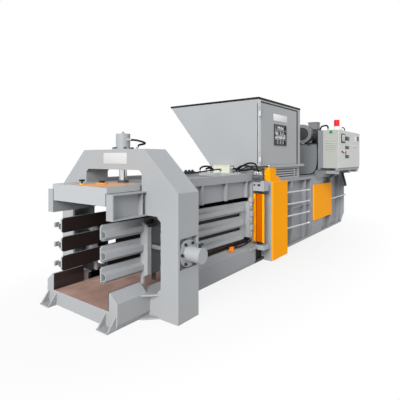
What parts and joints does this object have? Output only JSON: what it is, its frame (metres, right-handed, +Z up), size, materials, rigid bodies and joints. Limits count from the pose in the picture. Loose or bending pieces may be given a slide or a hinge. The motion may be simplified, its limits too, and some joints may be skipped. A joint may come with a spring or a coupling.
{
  "type": "recycling baler",
  "caption": "Horizontal baler for recyclables: feed hopper over a ram channel, tying bay, portal with press plate and squeezing side arms, oil power unit and control cabinet.",
  "frame": {"origin": "on the floor under the middle of the exit portal", "axes": "+X along the channel from the bale exit to the main cylinder, -Y the operator's side, +Z up"},
  "size_m": [8.6267, 2.801, 2.976],
  "materials": {
    "grey_paint": "semi-gloss",
    "orange_paint": "semi-gloss",
    "bare_steel": "mill scale",
    "bright_steel": "polished",
    "black_steel": "satin",
    "black_rubber": "matte",
    "cabinet_paint": "semi-gloss",
    "red_lens": "gloss",
    "red_plastic": "gloss",
    "black_plastic": "matte"
  },
  "bodies": {
    "frame": {"portal": "grey_paint", "chute_right": "grey_paint", "chute_left": "grey_paint", "floor_bearers": "grey_paint", "chamber_base_right": "grey_paint", "chamber_base_left": "grey_paint", "chamber_top_right": "grey_paint", "chamber_top_left": "grey_paint", "hinge_posts": "grey_paint", "press_beams": "grey_paint", "side_cylinders": "grey_paint", "side_wall_right": "grey_paint", "side_wall_left": "grey_paint", "tail_plate": "grey_paint", "top_covers": "grey_paint", "rear_bridge": "grey_paint", "hopper": "grey_paint", "tie_brackets": "grey_paint", "guard_box": "grey_paint", "tank": "grey_paint", "motor": "grey_paint", "stand": "grey_paint", "top_cylinder": "grey_paint", "main_cylinder": "grey_paint", "wire_tubes": "grey_paint", "trough_guard": "orange_paint", "cover_box": "orange_paint", "side_panel": "orange_paint", "wall_liners": "bare_steel", "channel_floor": "bare_steel", "press_pin": "bright_steel", "cylinder_bolts": "black_steel", "side_ports": "black_steel", "cooler": "black_steel", "twist_motor": "black_steel", "hopper_seals": "black_rubber", "hoses": "black_rubber", "cabinet_cable": "black_rubber", "cabinet": "cabinet_paint", "cabinet_gear": "cabinet_paint", "junction_box": "cabinet_paint", "beacon": "red_lens"},
    "arm_right": {"arm_right": "grey_paint"},
    "arm_left": {"arm_left": "grey_paint"},
    "side_rod_right": {"side_rod_right": "bright_steel"},
    "side_rod_left": {"side_rod_left": "bright_steel"},
    "press": {"press_plate": "orange_paint", "clamp_screws": "black_steel"},
    "top_rod": {"top_rod": "bright_steel"},
    "ram": {"ram": "bare_steel"},
    "twister": {"twister": "bright_steel"},
    "hopper_door": {"hopper_door": "grey_paint", "door_mesh": "black_steel"},
    "guard_door": {"guard_door": "orange_paint"},
    "cabinet_door": {"cabinet_door": "cabinet_paint"},
    "stop_button": {"stop_button": "red_plastic"},
    "push_button": {"push_button": "black_plastic"},
    "selector": {"selector": "black_plastic"},
    "door_handle": {"door_handle": "black_plastic"}
  },
  "joints": [
    {"name": "press_hinge", "type": "hinge", "parent": "frame", "child": "press", "pos_m": [2.25, 0, 1.43], "axis": [0, 1, 0], "range_deg": [0, 2.5]},
    {"name": "top_rod_slide", "type": "slide", "parent": "frame", "child": "top_rod", "axis": [0, 0, 1], "range_m": [0, 0.1]},
    {"name": "arm_right_hinge", "type": "hinge", "parent": "frame", "child": "arm_right", "pos_m": [2.33, -0.64, 0.6], "axis": [0, 0, 1], "range_deg": [-0.7, 3.3]},
    {"name": "arm_left_hinge", "type": "hinge", "parent": "frame", "child": "arm_left", "pos_m": [2.33, 0.64, 0.6], "axis": [0, 0, -1], "range_deg": [-0.7, 3.3]},
    {"name": "side_rod_right_slide", "type": "slide", "parent": "frame", "child": "side_rod_right", "axis": [0, -1, 0], "range_m": [-0.03, 0.136]},
    {"name": "side_rod_left_slide", "type": "slide", "parent": "frame", "child": "side_rod_left", "axis": [0, 1, 0], "range_m": [-0.03, 0.136]},
    {"name": "ram_slide", "type": "slide", "parent": "frame", "child": "ram", "axis": [-1, 0, 0], "range_m": [0, 1.9]},
    {"name": "twister_spin", "type": "hinge", "parent": "frame", "child": "twister", "pos_m": [2.54, -0.72, 0.8], "axis": [0, 0, 1], "continuous": true},
    {"name": "hopper_door_hinge", "type": "hinge", "parent": "frame", "child": "hopper_door", "pos_m": [2.621, -0.68, 2.3], "axis": [0, 0, -1], "range_deg": [0, 90]},
    {"name": "guard_door_hinge", "type": "hinge", "parent": "frame", "child": "guard_door", "pos_m": [2.75, -0.872, 0.7], "axis": [0, 0, -1], "range_deg": [0, 100]},
    {"name": "cabinet_door_hinge", "type": "hinge", "parent": "frame", "child": "cabinet_door", "pos_m": [5.476, -1.25, 2.08], "axis": [0, 0, -1], "range_deg": [0, 110]},
    {"name": "stop_button_press", "type": "slide", "parent": "cabinet_door", "child": "stop_button", "axis": [0, 1, 0], "range_m": [0, 0.006]},
    {"name": "push_button_press", "type": "slide", "parent": "cabinet_door", "child": "push_button", "axis": [0, 1, 0], "range_m": [0, 0.005], "stiffness_N_per_m": 150},
    {"name": "selector_turn", "type": "hinge", "parent": "cabinet_door", "child": "selector", "pos_m": [5.69, -1.25, 2.02], "axis": [0, -1, 0], "range_deg": [-45, 45]},
    {"name": "door_handle_turn", "type": "hinge", "parent": "cabinet_door", "child": "door_handle", "pos_m": [7.15, -1.25, 2.42], "axis": [0, -1, 0], "range_deg": [0, 90]}
  ],
  "couplings": [
    {"joint": "top_rod_slide", "follows": "press_hinge", "m_per_rad": 2.25},
    {"joint": "side_rod_right_slide", "follows": "arm_right_hinge", "m_per_rad": 2.33},
    {"joint": "side_rod_left_slide", "follows": "arm_left_hinge", "m_per_rad": 2.33}
  ]
}
